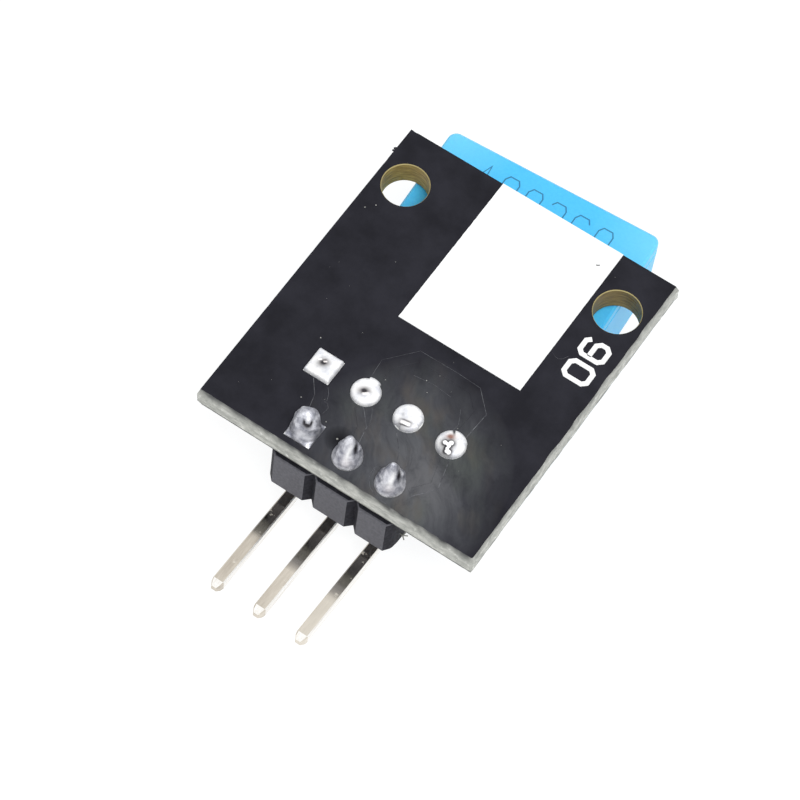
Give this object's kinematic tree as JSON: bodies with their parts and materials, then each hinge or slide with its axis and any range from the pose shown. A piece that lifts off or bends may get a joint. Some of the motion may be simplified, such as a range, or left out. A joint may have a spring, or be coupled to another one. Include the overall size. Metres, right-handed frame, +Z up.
{
  "type": "temperature humidity sensor module",
  "caption": "Small black circuit board with a blue grilled temperature and humidity sensor under it, soldered leads, mounting holes and an angled pin header.",
  "frame": {"origin": "centre of the sensor's grille face, on which the module rests", "axes": "+Z up out of the board's solder side, +Y towards the mounting-hole end, header pins towards -Y"},
  "size_m": [0.0165, 0.0283, 0.0094],
  "materials": {
    "black_mask_board": "semi-gloss solder mask",
    "white_print": "matt ink",
    "tinned_copper": "satin tin",
    "solder": "bright, slightly grainy",
    "blue_plastic": "satin moulding",
    "inner_board": "semi-gloss solder mask",
    "white_ceramic": "matt",
    "black_epoxy": "glossy resin",
    "tinned_steel": "satin tin",
    "black_plastic": "satin moulding"
  },
  "bodies": {
    "root": {"circuit_board": "black_mask_board", "white_label": "white_print", "sensor_pad_1": "tinned_copper", "sensor_pad_2": "tinned_copper", "sensor_pad_3": "tinned_copper", "sensor_pad_4": "tinned_copper", "header_pad_1": "tinned_copper", "header_pad_2": "tinned_copper", "header_pad_3": "tinned_copper", "sensor_solder_1": "solder", "sensor_solder_2": "solder", "sensor_solder_3": "solder", "sensor_solder_4": "solder", "header_solder_1": "solder", "header_solder_2": "solder", "header_solder_3": "solder", "sensor_back_cover": "blue_plastic", "sensor_grille_case": "blue_plastic", "sensor_inner_board": "inner_board", "humidity_element": "white_ceramic", "temperature_bead": "black_epoxy", "sensor_chip": "black_epoxy", "sensor_lead_1": "tinned_steel", "sensor_lead_2": "tinned_steel", "sensor_lead_3": "tinned_steel", "sensor_lead_4": "tinned_steel", "header_housing": "black_plastic", "header_pin_1": "tinned_steel", "header_pin_2": "tinned_steel", "header_pin_3": "tinned_steel", "resistor_body": "black_epoxy", "resistor_cap_1": "tinned_copper", "resistor_cap_2": "tinned_copper", "resistor_joint_1": "solder", "resistor_joint_2": "solder"}
  },
  "joints": []
}
